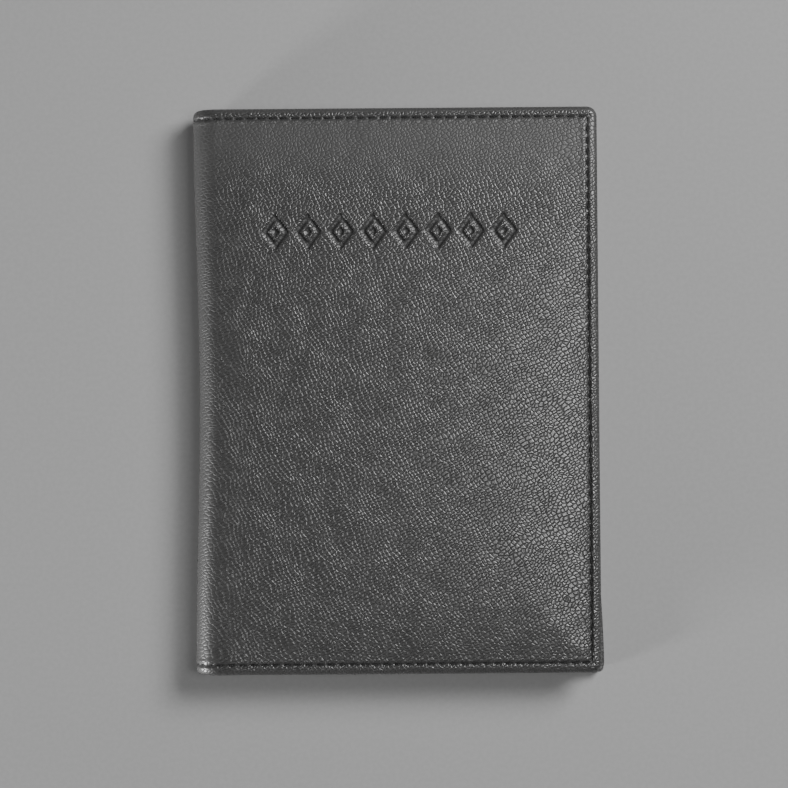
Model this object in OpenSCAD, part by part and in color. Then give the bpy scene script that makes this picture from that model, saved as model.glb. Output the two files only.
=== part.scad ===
// Leather passport holder: a book-style cover with a padded front and back,
// a soft spine that folds along two lines, slip sleeves for a passport's own
// covers, two card pockets and lock-stitched seams.
//
// Frame: the closed holder lies on its back cover with the spine at -X,
// the head at +Y and the front cover facing +Z. The origin is the centre of
// the footprint, on the surface the holder rests on.
//
// Each cover is drawn once in its own depth: depth 0 is the outer face and
// depth grows towards the passport. The front cover is the back one mirrored.

/* [Holder] */
// Width of the closed holder, from spine to free edge
cover_w = 101; // [99:0.5:108]
// Height of the holder, from tail to head
cover_h = 141; // [138:0.5:150]
// Thickness of the closed holder
closed_t = 13; // [13:0.5:18]
// Radius of the two corners at the free edge
corner_r = 3; // [2:0.5:6]

/* [Leather and board] */
// Thickness of the outer leather
leather_t = 1.0; // [0.9:0.05:1.1]
// Thickness of the foam under the outer leather
padding_t = 0.5; // [0.4:0.05:0.6]
// Thickness of the stiffener board
board_t = 0.6; // [0.5:0.05:0.7]
// Thickness of the lining cloth
lining_t = 0.3; // [0.2:0.05:0.35]
// Thickness of the skived edge that is turned in over the lining
hem_t = 0.5; // [0.45:0.05:0.55]
// Width of the turned-in edge; a passport's cover lies between the two hems
hem_w = 7; // [5.5:0.5:7.5]

/* [Sleeves and card pockets] */
// Thickness of the sleeve leather
sleeve_t = 0.6; // [0.55:0.05:0.65]
// Thickness of the card pocket leather
card_t = 0.45; // [0.4:0.05:0.5]
// Room for a card behind each card pocket
card_gap = 0.2; // [0.15:0.05:0.25]
// Width of the front cover's sleeve, counted in stitches from the side seam
front_sleeve_stitches = 33; // [30:1:33]
// Width of the back cover's sleeve, counted in stitches from the side seam
back_sleeve_stitches = 22; // [18:1:26]
// Top edge of the upper card pocket, counted in stitches above mid-height
upper_pocket_stitches = 16; // [14:1:19]
// Top edge of the lower card pocket, counted in stitches above mid-height
lower_pocket_stitches = 9; // [4:1:9]
// Depth of the thumb notch in the back cover's sleeve
notch_depth = 6; // [4:0.5:8]
// Radius of the thumb notch
notch_r = 14; // [12:0.5:18]

/* [Stitching] */
// Distance of the seam from the edge of the cover
seam_in = 2.5; // [2.2:0.1:3]
// Length of one stitch
stitch_pitch = 2.75; // [2.75:0.05:2.8]
// Diameter of the thread
thread_d = 0.45; // [0.4:0.05:0.5]

/* [Ornament] */
// Number of lozenges in the debossed band
lozenge_count = 8; // [4:1:9]
// Distance between the middles of two lozenges
lozenge_pitch = 8.1; // [7.5:0.1:8.5]
// Height of a lozenge
lozenge_h = 9.2; // [6:0.1:12]
// Height of the band above the middle of the cover
ornament_y = 39.6; // [20:0.1:50]
// Depth of the debossing
deboss_d = 0.4; // [0.2:0.05:0.5]

/* [Hidden] */
$fn = 48;
EPS = 0.01;                     // overlap that joins or clears two shapes
half_h = cover_h / 2;
free_x = cover_w / 2;           // the free edge
spine_x = -cover_w / 2;         // the outer face of the spine
fold_r = 1.2;                   // a fold bead's radius, and its axis' depth
fold_x = spine_x + fold_r;      // the two fold axes, which run along Y
fold_clear = 0.05;              // between a bead and the cover beside it
cover_x0 = fold_x + fold_r + fold_clear; // where a cover's layers begin

// Depths in one cover, from its outer face towards the passport
board_z = leather_t + padding_t;
lining_z = board_z + board_t;
hem_z = lining_z + lining_t;
sleeve_z = hem_z + hem_t;
inner_z = sleeve_z + sleeve_t;  // the sleeve's face
card_1_z = inner_z + card_gap;
card_1_face = card_1_z + card_t;
card_2_z = card_1_face + card_gap;
card_2_face = card_2_z + card_t;

wall_t = 1.0;                   // leather wrapped round a cover's edge
core_clear = 0.1;               // between the core's sheets and that wrap
padding_in = 5;                 // the foam stops short of the seam
sleeve_in = 0.5;                // the sleeves stop short of the edge
pocket_rim = 4;                 // width glued and sewn down round a pocket
edge_seam_in = 1.8;             // a hem's own row of stitches from its edge
sink_out = thread_d;            // outside, the thread lies flush
sink_in = 0.25;                 // inside, it stands a little proud
groove_w = thread_d + 0.15;
stitch_gap = 0.65;              // between the ends of two stitches

seam_x = free_x - seam_in;
seam_y = half_h - seam_in;
side_stitches = 2 * floor((seam_y - 1) / stitch_pitch);
row_stitches = floor((seam_x - cover_x0) / stitch_pitch);
spine_stitches = 3;

front_sleeve_x = seam_x - front_sleeve_stitches * stitch_pitch;
back_sleeve_x = seam_x - back_sleeve_stitches * stitch_pitch;
upper_pocket_y = upper_pocket_stitches * stitch_pitch;
lower_pocket_y = lower_pocket_stitches * stitch_pitch;
pocket_foot_y = -2 * stitch_pitch; // foot of the upper card pocket
pocket_x0 = front_sleeve_x + 1;
sleeve_x1 = free_x - sleeve_in;
sleeve_y1 = half_h - sleeve_in;
notch_x = back_sleeve_x + notch_depth - notch_r; // middle of the notch's arc
notch_row_r = notch_r + edge_seam_in; // the row of stitches round the notch
notch_row_half = acos((notch_row_r - notch_depth) / notch_row_r);

spine_z0 = 2 * fold_r;          // ends of the spine between its two beads
spine_z1 = closed_t - spine_z0;
spine_face_x = spine_x + leather_t + lining_t + hem_t;

LEATHER = [0.13, 0.13, 0.135];
THREAD = [0.05, 0.05, 0.055];
FOAM = [0.30, 0.30, 0.31];
BOARD = [0.42, 0.34, 0.25];
CLOTH = [0.10, 0.10, 0.11];

// ---------------------------------------------------------------- shared

// Places a cover's own depth in the closed holder, as the front cover.
module as_front() {
    translate([0, 0, closed_t]) mirror([0, 0, 1]) children();
}

// A box from one corner to the opposite one.
module block(low, high) {
    translate(low) cube(high - low);
}

// A sheet with its two corners at the free edge rounded.
module page(x0, x1, half, r, z0, z1) {
    translate([0, 0, z0]) linear_extrude(z1 - z0) union() {
        translate([x0, -half]) square([x1 - x0 - r, 2 * half]);
        translate([x0, r - half]) square([x1 - x0, 2 * (half - r)]);
        for (side = [-1, 1])
            translate([x1 - r, side * (half - r)]) circle(r);
    }
}

// The channel of the main seam, on three sides of a cover.
module seam_channel(z0, z1) {
    w = groove_w / 2;
    for (side = [-1, 1])
        block([cover_x0 - 1, side * seam_y - w, z0],
              [seam_x + w, side * seam_y + w, z1]);
    block([seam_x - w, -seam_y - w, z0], [seam_x + w, seam_y + w, z1]);
}

// One stitch: a short rod of thread, centred, along the angle a.
module stitch(a) {
    rotate([0, 0, a]) rotate([0, 90, 0])
        cylinder(h = stitch_pitch - stitch_gap, d = thread_d,
                 center = true, $fn = 16);
}

// A run of stitches along X that begins at x and goes towards -X.
module stitches_along_x(x, y, z, count) {
    for (i = [0 : count - 1])
        translate([x - (i + 0.5) * stitch_pitch, y, z]) stitch(0);
}

// A run of stitches along Y, from stitch number first to last above the middle.
module stitches_along_y(x, z, first, last) {
    for (i = [first : last])
        translate([x, (i + 0.5) * stitch_pitch, z]) stitch(90);
}

// ---------------------------------------------------------------- cover

// One cover's outer leather: a skin wrapped round three edges and turned in
// over the lining. It is open towards the spine.
module cover_leather() {
    x0 = cover_x0;
    inner_r = corner_r - wall_t + core_clear;
    difference() {
        page(x0, free_x, half_h, corner_r, 0, sleeve_z);
        page(x0 - 1, free_x - padding_in, half_h - padding_in, inner_r,
             leather_t, board_z + EPS);
        page(x0 - 1, free_x - wall_t, half_h - wall_t, inner_r,
             board_z, hem_z);
        page(x0 - 1, free_x - hem_w, half_h - hem_w, inner_r,
             hem_z - EPS, sleeve_z + 1);
        seam_channel(-1, sink_out);
        seam_channel(sleeve_z - sink_in, sleeve_z + 1);
    }
}

// A sheet of a cover's core, held clear of the leather by core_clear.
module core_sheet(inset, z0, z1) {
    gap = inset + core_clear;
    page(cover_x0, free_x - gap, half_h - gap, corner_r - wall_t, z0, z1);
}

module cover_padding() { core_sheet(padding_in, leather_t, board_z); }

module cover_board() { core_sheet(wall_t, board_z, lining_z); }

module cover_lining() { core_sheet(wall_t, lining_z, hem_z); }

// The needle thread, which lies flush in the outer face's channel.
module cover_outer_thread() {
    z = thread_d / 2;
    half_count = side_stitches / 2;
    stitches_along_y(seam_x, z, -half_count, half_count - 1);
    for (side = [-1, 1])
        stitches_along_x(seam_x, side * seam_y, z, row_stitches);
}

// Height of a thread's middle when it is sunk into a face at depth z.
function on_face(z) = z - sink_in + thread_d / 2;

// ---------------------------------------------------------------- back cover

module back_leather() { color(LEATHER) cover_leather(); }

module back_padding() { color(FOAM) cover_padding(); }

module back_board() { color(BOARD) cover_board(); }

module back_lining() { color(CLOTH) cover_lining(); }

// The row that follows the sleeve's free edge and goes round its notch.
module back_sleeve_row() {
    arc_length = 2 * notch_row_half * PI / 180 * notch_row_r;
    arc_count = floor(arc_length / stitch_pitch);
    step = 2 * notch_row_half / arc_count;
    z = on_face(inner_z);
    for (i = [0 : arc_count - 1]) {
        a = -notch_row_half + (i + 0.5) * step;
        translate([notch_x + notch_row_r * cos(a), notch_row_r * sin(a), z])
            stitch(a + 90);
    }
    first = ceil(notch_row_r * sin(notch_row_half) / stitch_pitch);
    last = side_stitches / 2 - 1;
    x = back_sleeve_x + edge_seam_in;
    stitches_along_y(x, z, first, last);
    stitches_along_y(x, z, -last - 1, -first - 1);
}

module back_sleeve() {
    color(LEATHER) difference() {
        page(back_sleeve_x, sleeve_x1, sleeve_y1, corner_r - sleeve_in,
             sleeve_z, inner_z);
        translate([notch_x, 0, sleeve_z - 1]) cylinder(h = 3, r = notch_r);
        seam_channel(inner_z - sink_in, inner_z + 1);
        back_sleeve_channel();
    }
}

// The channel of the back sleeve's edge row: two straights and an arc.
module back_sleeve_channel() {
    w = groove_w / 2;
    x = back_sleeve_x + edge_seam_in;
    z = inner_z - sink_in;
    y = notch_row_r * sin(notch_row_half);
    for (side = [-1, 1])
        block([x - w, min(side * y, side * seam_y), z],
              [x + w, max(side * y, side * seam_y), inner_z + 1]);
    intersection() {
        translate([notch_x, 0, z]) difference() {
            cylinder(h = 2, r = notch_row_r + w);
            translate([0, 0, -1]) cylinder(h = 4, r = notch_row_r - w);
        }
        block([x - w, -y - w, z - 1], [free_x, y + w, inner_z + 2]);
    }
}

module back_seam_outer_thread() { color(THREAD) cover_outer_thread(); }

// The bobbin thread, on the sleeve and, past it, on the turned-in edge.
module back_seam_inner_thread() {
    z = on_face(inner_z);
    half_count = side_stitches / 2;
    rest = row_stitches - back_sleeve_stitches;
    color(THREAD) {
        stitches_along_y(seam_x, z, -half_count, half_count - 1);
        for (side = [-1, 1]) {
            stitches_along_x(seam_x, side * seam_y, z, back_sleeve_stitches);
            stitches_along_x(back_sleeve_x, side * seam_y,
                             on_face(sleeve_z), rest);
        }
    }
}

module back_sleeve_thread() { color(THREAD) back_sleeve_row(); }

// ---------------------------------------------------------------- spine

// Outer leather of the spine, with a rolled bead on each fold axis and the
// edge turned in at head and tail.
module spine_leather() {
    w = groove_w / 2;
    color(LEATHER) {
        for (z = [fold_r, closed_t - fold_r])
            translate([fold_x, 0, z]) rotate([90, 0, 0])
                cylinder(h = cover_h, r = fold_r, center = true);
        difference() {
            block([spine_x, -half_h, fold_r],
                  [spine_face_x, half_h, closed_t - fold_r]);
            block([spine_x + leather_t, wall_t - half_h, spine_z0],
                  [spine_face_x - hem_t, half_h - wall_t, spine_z1]);
            block([spine_x + leather_t, hem_w - half_h, spine_z0],
                  [spine_face_x + 1, half_h - hem_w, spine_z1]);
            for (z = [fold_r, spine_z1])
                block([fold_x + EPS, -half_h - 1, z - EPS],
                      [spine_face_x + 1, half_h + 1, z + fold_r + EPS]);
            for (side = [-1, 1], x = [spine_x - 1 + sink_out,
                                      spine_face_x + 1 - sink_in])
                block([x - 1, side * seam_y - w, 0],
                      [x + 1, side * seam_y + w, closed_t]);
        }
    }
}

module spine_lining() {
    color(CLOTH)
        block([spine_x + leather_t, core_clear + wall_t - half_h, spine_z0],
              [spine_x + leather_t + lining_t, half_h - wall_t - core_clear,
               spine_z1]);
}

// The stitches that carry the head and tail seams across the spine.
module spine_seam_thread() {
    middle_z = closed_t / 2;
    color(THREAD)
        for (side = [-1, 1], i = [0 : spine_stitches - 1])
            for (x = [spine_x + thread_d / 2,
                      spine_face_x + sink_in - thread_d / 2])
                translate([x, side * seam_y,
                           middle_z + (i - 1) * stitch_pitch])
                    rotate([0, 90, 0]) stitch(0);
}

// ---------------------------------------------------------------- front cover

// The debossed band: a row of lozenge outlines with a small lozenge in each.
module lozenge(w, h) {
    polygon([[-w / 2, 0], [0, -h / 2], [w / 2, 0], [0, h / 2]]);
}

module ornament() {
    outer_w = lozenge_pitch - 1.2;
    inner = 0.58;               // an outline's opening, as a share of its size
    core = 0.26;                // the small lozenge, likewise
    first_x = -(lozenge_count - 1) / 2 * lozenge_pitch;
    for (i = [0 : lozenge_count - 1])
        translate([first_x + i * lozenge_pitch, ornament_y]) {
            difference() {
                lozenge(outer_w, lozenge_h);
                lozenge(outer_w * inner, lozenge_h * inner);
            }
            lozenge(outer_w * core, lozenge_h * core);
        }
}

module front_leather() {
    color(LEATHER) as_front() difference() {
        cover_leather();
        translate([0, 0, -1]) linear_extrude(1 + deboss_d) ornament();
    }
}

module front_padding() { color(FOAM) as_front() cover_padding(); }

module front_board() { color(BOARD) as_front() cover_board(); }

module front_lining() { color(CLOTH) as_front() cover_lining(); }

module front_sleeve() {
    w = groove_w / 2;
    x = front_sleeve_x + edge_seam_in;
    color(LEATHER) as_front() difference() {
        page(front_sleeve_x, sleeve_x1, sleeve_y1, corner_r - sleeve_in,
             sleeve_z, inner_z);
        seam_channel(inner_z - sink_in, inner_z + 1);
        block([x - w, upper_pocket_y, inner_z - sink_in],
              [x + w, seam_y, inner_z + 1]);
    }
}

// One card pocket, sewn down at its sides and foot and open at the top.
// The sheet lies at depth z; its rim fills the room behind it down to base.
module card_pocket(foot_y, top_y, z, base) {
    w = groove_w / 2;
    face = z + card_t;
    x = front_sleeve_x + edge_seam_in;
    rim_x = sleeve_x1 - pocket_rim;
    difference() {
        union() {
            pocket_sheet(foot_y, top_y, z, face);
            for (ends = [[pocket_x0, pocket_x0 + pocket_rim],
                         [rim_x, sleeve_x1]])
                intersection() {
                    pocket_sheet(foot_y, top_y, base, z + EPS);
                    block([ends[0], foot_y - 1, base],
                          [ends[1], top_y, z + EPS]);
                }
            intersection() {
                pocket_sheet(foot_y, top_y, base, z + EPS);
                block([pocket_x0, foot_y - 1, base],
                      [sleeve_x1, foot_y + pocket_rim, z + EPS]);
            }
        }
        seam_channel(face - sink_in, face + 1);
        block([x - w, foot_y - 1, face - sink_in], [x + w, top_y + 1, face + 1]);
        block([x, top_y - edge_seam_in - w, face - sink_in],
              [seam_x, top_y - edge_seam_in + w, face + 1]);
    }
}

// The outline of a card pocket, cut from the sleeve's own outline.
module pocket_sheet(foot_y, top_y, z0, z1) {
    intersection() {
        page(pocket_x0, sleeve_x1, sleeve_y1, corner_r - sleeve_in, z0, z1);
        block([pocket_x0 - 1, foot_y, z0 - 1], [free_x, top_y, z1 + 1]);
    }
}

module card_pocket_upper() {
    color(LEATHER) as_front()
        card_pocket(pocket_foot_y, upper_pocket_y, card_1_z, inner_z);
}

// The lower pocket overlaps the foot of the upper one, so its rim is shallow
// there and reaches down to the sleeve below it.
module card_pocket_lower() {
    foot_y = -sleeve_y1;
    below_y = pocket_foot_y - 0.2;
    color(LEATHER) as_front() union() {
        card_pocket(foot_y, lower_pocket_y, card_2_z, card_1_face);
        for (ends = [[pocket_x0, pocket_x0 + pocket_rim],
                     [sleeve_x1 - pocket_rim, sleeve_x1]])
            intersection() {
                pocket_sheet(foot_y, below_y, inner_z, card_2_z);
                block([ends[0], foot_y, inner_z], [ends[1], below_y, card_2_z]);
            }
        intersection() {
            pocket_sheet(foot_y, below_y, inner_z, card_2_z);
            block([pocket_x0, foot_y, inner_z],
                  [sleeve_x1, foot_y + pocket_rim, card_2_z]);
        }
    }
}

module front_seam_outer_thread() {
    color(THREAD) as_front() cover_outer_thread();
}

// The bobbin thread, which steps up as it crosses the card pockets.
module front_seam_inner_thread() {
    half_count = side_stitches / 2;
    rest = row_stitches - front_sleeve_stitches;
    color(THREAD) as_front() {
        stitches_along_y(seam_x, on_face(card_2_face),
                         -half_count, lower_pocket_stitches - 1);
        stitches_along_y(seam_x, on_face(card_1_face),
                         lower_pocket_stitches, upper_pocket_stitches - 1);
        stitches_along_y(seam_x, on_face(inner_z),
                         upper_pocket_stitches, half_count - 1);
        stitches_along_x(seam_x, seam_y, on_face(inner_z),
                         front_sleeve_stitches);
        stitches_along_x(seam_x, -seam_y, on_face(card_2_face),
                         front_sleeve_stitches - 1);
        for (side = [-1, 1])
            stitches_along_x(front_sleeve_x, side * seam_y,
                             on_face(sleeve_z), rest);
    }
}

// The row down the front sleeve's free edge, through the pockets below.
module front_sleeve_thread() {
    x = front_sleeve_x + edge_seam_in;
    half_count = side_stitches / 2;
    color(THREAD) as_front() {
        stitches_along_y(x, on_face(card_2_face),
                         -half_count + 1, lower_pocket_stitches - 1);
        stitches_along_y(x, on_face(card_1_face),
                         lower_pocket_stitches, upper_pocket_stitches - 1);
        stitches_along_y(x, on_face(inner_z),
                         upper_pocket_stitches, half_count - 1);
    }
}

// The row under a card pocket's top edge.
module card_row(top_y, face) {
    as_front() stitches_along_x(seam_x - stitch_pitch / 2,
                                top_y - edge_seam_in, on_face(face),
                                front_sleeve_stitches - 2);
}

module card_pocket_upper_thread() {
    color(THREAD) card_row(upper_pocket_y, card_1_face);
}

module card_pocket_lower_thread() {
    color(THREAD) card_row(lower_pocket_y, card_2_face);
}

// ---------------------------------------------------------------- nodes

back_leather();
back_padding();
back_board();
back_lining();
back_sleeve();
back_seam_outer_thread();
back_seam_inner_thread();
back_sleeve_thread();
spine_leather();
spine_lining();
spine_seam_thread();
front_leather();
front_padding();
front_board();
front_lining();
front_sleeve();
card_pocket_upper();
card_pocket_lower();
front_seam_outer_thread();
front_seam_inner_thread();
front_sleeve_thread();
card_pocket_upper_thread();
card_pocket_lower_thread();
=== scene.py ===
"""A padded black leather passport holder, closed and lying on its back cover.

Each cover is first made flat, in developed places: s runs across the cover from
the middle of the spine to the free edge, t from tail to head, and depth inwards
from the outer face. wrap() then bends that flat work round the spine into the
row frame, so that leather, lining and stitches all follow one curve. Lengths
are in millimetres until a mesh is made.
"""

import math

import bmesh
import bpy
import numpy as np
from mathutils import Matrix, Vector


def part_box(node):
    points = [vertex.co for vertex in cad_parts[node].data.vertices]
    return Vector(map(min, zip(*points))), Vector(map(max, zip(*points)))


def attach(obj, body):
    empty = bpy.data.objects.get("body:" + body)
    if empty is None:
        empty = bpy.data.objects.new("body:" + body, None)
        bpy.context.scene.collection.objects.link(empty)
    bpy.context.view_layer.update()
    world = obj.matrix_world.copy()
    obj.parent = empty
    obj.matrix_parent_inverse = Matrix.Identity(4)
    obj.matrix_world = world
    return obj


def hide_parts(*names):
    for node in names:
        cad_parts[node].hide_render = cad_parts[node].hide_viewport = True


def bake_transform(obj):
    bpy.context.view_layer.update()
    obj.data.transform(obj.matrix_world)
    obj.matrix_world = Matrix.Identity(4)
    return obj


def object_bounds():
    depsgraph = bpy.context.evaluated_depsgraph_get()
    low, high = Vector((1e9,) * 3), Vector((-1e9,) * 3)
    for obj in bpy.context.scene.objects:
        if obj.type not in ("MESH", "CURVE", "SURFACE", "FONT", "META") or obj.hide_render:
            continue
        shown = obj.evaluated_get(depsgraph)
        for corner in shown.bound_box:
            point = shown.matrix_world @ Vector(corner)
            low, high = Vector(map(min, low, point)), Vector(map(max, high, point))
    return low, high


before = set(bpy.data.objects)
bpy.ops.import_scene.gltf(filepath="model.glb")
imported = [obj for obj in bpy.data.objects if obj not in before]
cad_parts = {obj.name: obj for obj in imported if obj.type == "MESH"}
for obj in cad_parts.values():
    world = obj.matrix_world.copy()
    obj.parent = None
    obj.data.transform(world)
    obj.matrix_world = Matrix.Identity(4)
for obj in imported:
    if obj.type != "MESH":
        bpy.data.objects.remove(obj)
size_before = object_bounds()

MM = 0.001


def box_mm(node):
    """Lowest and highest corner of a CAD node, in millimetres."""
    return tuple(np.array(corner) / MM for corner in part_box(node))


# ------------------------------------------------------------ driving sizes

holder_low, holder_high = (np.array(corner) / MM for corner in size_before)
panel_high = box_mm("back_leather")[1]
board_low, board_high = box_mm("back_board")
padding_low, padding_high = box_mm("back_padding")
lining_high = box_mm("back_lining")[1]
thread_low, thread_high = box_mm("back_seam_outer_thread")
back_sleeve_low, back_sleeve_high = box_mm("back_sleeve")
front_sleeve_low, front_sleeve_high = box_mm("front_sleeve")
upper_low, upper_high = box_mm("card_pocket_upper")
lower_low, lower_high = box_mm("card_pocket_lower")

THICK = holder_high[2]
SPINE_X = holder_low[0]
FREE_X = holder_high[0]
HALF_H = holder_high[1]
COVER_T = panel_high[2]              # one cover, without its sleeve
THREAD_D = thread_high[2] - thread_low[2]
SEAM_X = thread_high[0] - THREAD_D / 2
SEAM_Y = thread_high[1] - THREAD_D / 2
THREAD_AROUND = 3                    # roughly the way round it, in its own widths
PITCH = 2.75                         # length of a stitch
STITCH_GAP = 0.28                    # from the hole's middle to the thread's end
STITCH_SLANT = 0.10                  # how far a thread's end stands beside the line
STITCH_SUNK, STITCH_RISE = 0.62, 0.37   # its ends' depth, and its arch over that
STITCH_END, STITCH_SWELL = 0.72, 0.28   # its ends' width, and what the middle adds
LEATHER_T = 1.0

EDGE_R = COVER_T / 2                 # the turned edge is a half round
ROLL_R = 6.0                         # the leather's bend round the spine
ROLL_X = SPINE_X + ROLL_R            # where that bend begins
ROLL_LENGTH = ROLL_R * math.pi / 2
SPINE_S = ROLL_X - ROLL_LENGTH - (THICK / 2 - ROLL_R)  # the spine's middle
EDGE_S = FREE_X - EDGE_R             # where the free edge begins to turn
EDGE_T = HALF_H - EDGE_R             # the same at head and tail
CORNER_R = 1.1                       # plan radius inside the turned edge
HEM_W = 7.0                          # how far the edge is turned in
EDGE_ROW_IN = 1.8                    # a sleeve's own stitches from its free edge

BOW = 1.25                           # how far the spine is drawn in
BOW_REACH = 16.0                     # how far onto the covers that is felt
SPINE_STRETCH = 0.35                 # the grain is drawn out round the spine
STRETCH_REACH = 2.0                  # and this far onto the cover
CROWN = 1.6                          # how far the foam lifts the front
SEAM_RISE = 5.5                      # how soon it rises beside a seam
HEAD_FULL, HEAD_REACH = 0.25, 42.0   # the share left at the head, and how far down
CORNER_FLARE = (1.5, 1.0)            # the back cover's tail corner stands out
FLARE_X = (20.0, 50.0)               # where that begins and is full, in x for the
FLARE_FOOT_X = (0.0, 50.0)           # free edge and for the tail edge,
FLARE_T = (30.0, 70.0)               # and towards the tail
RIM, RIM_RISE = 0.22, 1.1            # how far the strip outside the seam stands up
TURNED_GRAIN, TURNED_HEAD_GRAIN = 0.85, 0.35   # grain left on the turned edges
HEAD_PULLED = 0.48                   # grain lost under the head seam,
FRONT_PULLED, BACK_PULLED = 0.5, 0.45   # and round the spine

# The relief of a sewn line
GROOVE, GROOVE_W = 0.36, 0.42        # depth and width of the channel
BRIDGE, BRIDGE_W = 0.8, 0.38         # how much of it closes between two stitches
LIP, LIP_PULL = 0.09, 0.05           # the lips beside it, and their swelling
LIP_OUT, LIP_W = 0.95, 0.5           # how far out they lie, and their width
PRESS, PRESS_W = 0.45, 0.5           # how hard it pressed the leather, and how wide
SHEET_GROOVE = 0.5                   # a sleeve's channel, as a share of a cover's

# The debossed band of lozenges
LOZENGES = 8
LOZENGE_STEP = 8.1
LOZENGE_W = 6.9
LOZENGE_H = 9.2
LOZENGE_RING, LOZENGE_CORE = 0.56, 0.27   # inside of its ring, and its core
BAND_S, BAND_T = -1.4, 39.6          # the band's middle
DEBOSS = 0.55                        # its depth
BAND_RIM = 0.06                      # how far the leather swells above and below it
BAND_GRAIN_LOST = 0.65


def smooth(x):
    """0 below 0, 1 above 1 and smooth between."""
    x = np.clip(x, 0, 1)
    return x * x * (3 - 2 * x)


def rise(x, low, high):
    """0 below low, 1 above high and smooth between."""
    return smooth((x - low) / (high - low))


def bell(x, width):
    """1 at 0 and falling off to both sides."""
    return np.exp(-(x / width) ** 2)


# ------------------------------------------------------------ the spine's bend

def wrap(s, t, depth, side):
    """Row-frame place, in mm, of the developed place (s, t) at that depth."""
    s, t, depth = np.broadcast_arrays(*(np.asarray(a, float) for a in (s, t, depth)))
    turn = np.clip((ROLL_X - s) / ROLL_R, 0, math.pi / 2)
    down = np.maximum(ROLL_X - ROLL_LENGTH - s, 0)
    r = ROLL_R - depth
    x = np.maximum(s, ROLL_X) - r * np.sin(turn)
    z = THICK - ROLL_R + r * np.cos(turn) - down
    drawn_in = BOW * np.cos(math.pi * np.clip(t / (2 * HALF_H), -0.5, 0.5)) ** 2
    x = x + drawn_in * (1 - rise(s, SPINE_S, ROLL_X + BOW_REACH))
    if side == "back":
        towards_tail = rise(-t, *FLARE_T)
        x_out = rise(x, *FLARE_X) * towards_tail
        t_out = rise(x, *FLARE_FOOT_X) * towards_tail
        x = x + CORNER_FLARE[0] * x_out
        t = t - CORNER_FLARE[1] * t_out
        z = THICK - z
    return np.stack([x, t, z], -1)


# ------------------------------------------------------------ meshes

SHARP_ANGLE = 55                     # degrees from which an edge is drawn sharp
UNDER_SHIFT = 200.0                  # mm to a sheet's under face on the flat hide


def add_object(name, data):
    """A new object in the scene."""
    obj = bpy.data.objects.new(name, data)
    bpy.context.scene.collection.objects.link(obj)
    return obj


def make_mesh(name, points, faces, developed, grain=None, pressed=None):
    """A mesh object from points in mm. The rest is kept per point for the
    materials: the place on the flat hide, how strong its grain is, and how hard
    it was pressed."""
    mesh = bpy.data.meshes.new(name)
    mesh.from_pydata((np.asarray(points) * MM).tolist(), [], faces)
    flat = mesh.attributes.new("developed", "FLOAT_VECTOR", "POINT")
    places = np.zeros((len(mesh.vertices), 3))
    places[:, :2] = developed
    flat.data.foreach_set("vector", places.astype(np.float32).ravel())
    for key, given, usual in (("grain", grain, 1.0), ("pressed", pressed, 0.0)):
        values = np.full(len(mesh.vertices), usual) if given is None else np.asarray(given)
        layer = mesh.attributes.new(key, "FLOAT", "POINT")
        layer.data.foreach_set("value", values.astype(np.float32))
    mesh.polygons.foreach_set("use_smooth", [True] * len(mesh.polygons))
    mesh.set_sharp_from_angle(angle=math.radians(SHARP_ANGLE))
    mesh.validate()
    return add_object(name, mesh)


def quads(index):
    """The four-sided faces of a grid of point numbers."""
    corners = [index[:-1, :-1], index[1:, :-1], index[1:, 1:], index[:-1, 1:]]
    return np.stack(corners, -1).reshape(-1, 4)


def marks(*spans):
    """Places along one axis. Each span (start, end, step) is cut into equal steps."""
    places = [spans[0][0]]
    for start, end, step in spans:
        count = max(1, round((end - start) / step))
        places += list(np.linspace(start, end, count + 1)[1:])
    return np.array(places)


def rounded(s, t, edge_s, edge_t, r):
    """Grid places with the two corners at the free edge rounded to radius r."""
    u = np.clip((s - (edge_s - r)) / r, 0, 1)
    v = np.clip((np.abs(t) - (edge_t - r)) / r, 0, 1)
    shift_s = r * (u * np.sqrt(1 - v * v / 2) - u)
    shift_t = r * (v * np.sqrt(1 - u * u / 2) - v)
    return s + shift_s, t + np.sign(t) * shift_t


def turned_in(s, t, reach):
    """Moves edge places outwards by reach, or inwards by a negative one.
    Past the corner's own radius the two sides meet in a mitre."""
    least = 0.3                      # no corner turns tighter
    mitre = 14                       # how far from a corner the mitre is felt
    core_s, core_t = EDGE_S - CORNER_R, EDGE_T - CORNER_R
    q_s = np.minimum(s, core_s)
    q_t = np.clip(t, -core_t, core_t)
    n_s, n_t = s - q_s, t - q_t
    length = np.hypot(n_s, n_t)
    n_s, n_t = n_s / length, n_t / length
    radius = max(CORNER_R + reach, least)
    slide = min(CORNER_R + reach - least, 0)
    near_s = smooth((q_s - core_s + mitre) / mitre)
    near_t = smooth((np.abs(q_t) - core_t + mitre) / mitre) * np.sign(q_t)
    return q_s + n_s * radius + slide * near_s, q_t + n_t * radius + slide * near_t


def turned_edge():
    """The leather's profile from its outer face round the edge, over the hem and
    back inside to the wall behind it, as (reach outwards, depth)."""
    steps = 9
    profile = [(EDGE_R * math.sin(a), EDGE_R - EDGE_R * math.cos(a))
               for a in np.linspace(0, math.pi, steps + 1)[1:]]
    hem_end = EDGE_R - HEM_W
    lining = lining_high[2]
    pinch, clear = 0.1, 0.02         # at the seam, and over the lining
    profile += [(-0.5, COVER_T), (-1.05, COVER_T - pinch), (-1.6, COVER_T),
                (hem_end * 0.6, COVER_T), (hem_end + 0.25, COVER_T),
                (hem_end, COVER_T - 0.15), (hem_end, lining + 0.05)]
    wall = EDGE_R - LEATHER_T
    profile += [(hem_end * 0.5, lining + clear), (wall, lining + clear),
                (wall, LEATHER_T)]
    return profile


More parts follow.
